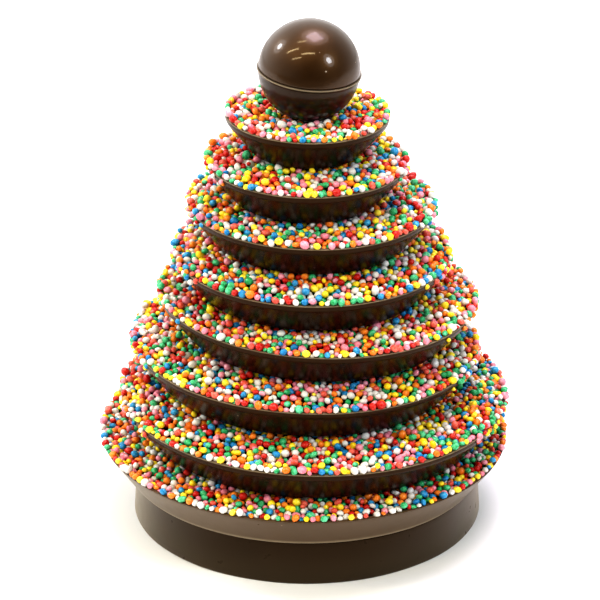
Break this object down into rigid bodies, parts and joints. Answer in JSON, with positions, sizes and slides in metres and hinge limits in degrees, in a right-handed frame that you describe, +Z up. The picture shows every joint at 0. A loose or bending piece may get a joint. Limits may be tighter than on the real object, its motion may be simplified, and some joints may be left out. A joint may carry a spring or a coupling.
{
  "type": "chocolate tree",
  "caption": "Tree-shaped stack of shallow round dark chocolate dishes heaped with mixed sugar sprinkles, on a plain round drum, with a two-part chocolate ball on top.",
  "frame": {"origin": "centre of the drum's flat underside", "axes": "+Z up through the stack to the ball, -Y towards the front as pictured, +X to its right"},
  "size_m": [0.1122, 0.1126, 0.1435],
  "materials": {
    "dark_chocolate": "smooth moulded dark chocolate, glossy",
    "polished_chocolate": "moulded chocolate with a mirror gloss",
    "sprinkle_red": "hard sugar shell, satin",
    "sprinkle_coral": "hard sugar shell, satin",
    "sprinkle_orange": "hard sugar shell, satin",
    "sprinkle_yellow": "hard sugar shell, satin",
    "sprinkle_green": "hard sugar shell, satin",
    "sprinkle_blue": "hard sugar shell, satin",
    "sprinkle_pink": "hard sugar shell, satin",
    "sprinkle_white": "hard sugar shell, satin"
  },
  "bodies": {
    "root": {"base": "dark_chocolate", "tier_1": "dark_chocolate", "tier_2": "dark_chocolate", "tier_3": "dark_chocolate", "tier_4": "dark_chocolate", "tier_5": "dark_chocolate", "tier_6": "dark_chocolate", "tier_7": "dark_chocolate", "tier_8": "dark_chocolate", "ball_lower": "polished_chocolate", "ball_upper": "polished_chocolate"}
  },
  "joints": []
}
